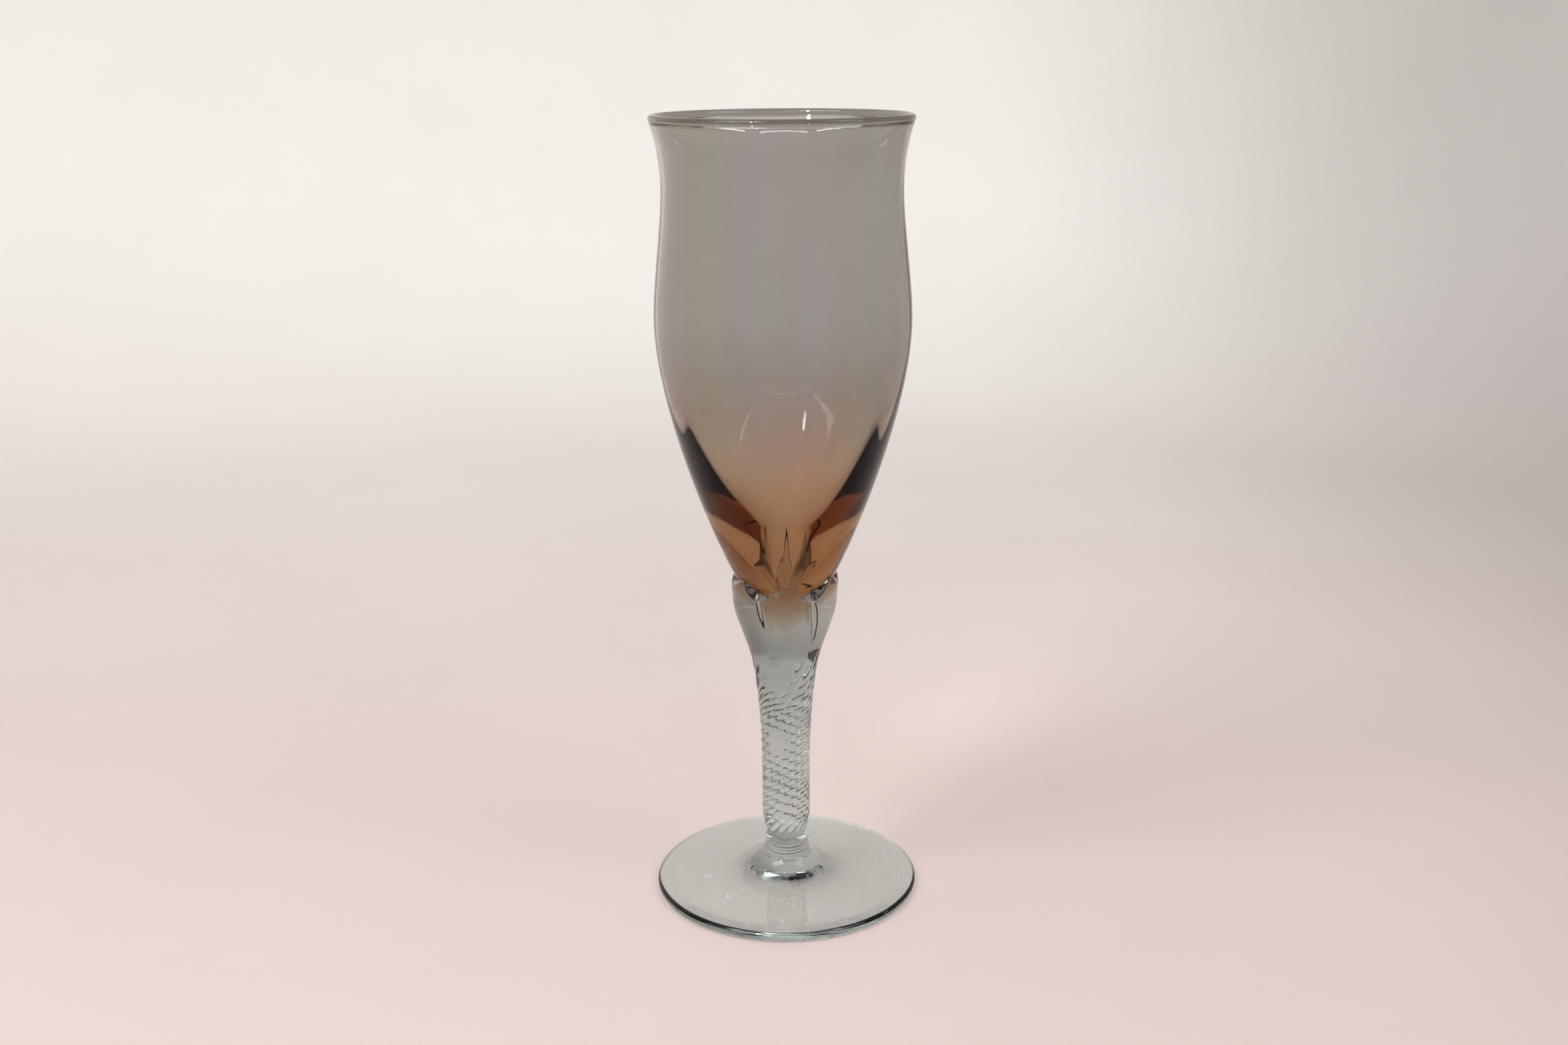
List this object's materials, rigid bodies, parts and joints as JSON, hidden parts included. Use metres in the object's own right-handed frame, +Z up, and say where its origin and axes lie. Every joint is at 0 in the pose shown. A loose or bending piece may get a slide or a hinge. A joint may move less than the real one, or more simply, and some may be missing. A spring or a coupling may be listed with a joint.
{
  "type": "champagne flute",
  "caption": "Tall tulip champagne flute: smoky bowl with a flared lip, clear petalled calyx, twisted ribbed stem and round disc foot.",
  "frame": {"origin": "middle of the foot's resting face", "axes": "+Z up along the stem, through the middle of the bowl; -Y is the side that faces the viewer"},
  "size_m": [0.0688, 0.0688, 0.2],
  "materials": {
    "smoky_glass": "fire-polished",
    "clear_glass": "fire-polished"
  },
  "bodies": {
    "root": {"bowl": "smoky_glass", "calyx": "clear_glass", "stem": "clear_glass", "foot": "clear_glass"}
  },
  "joints": []
}
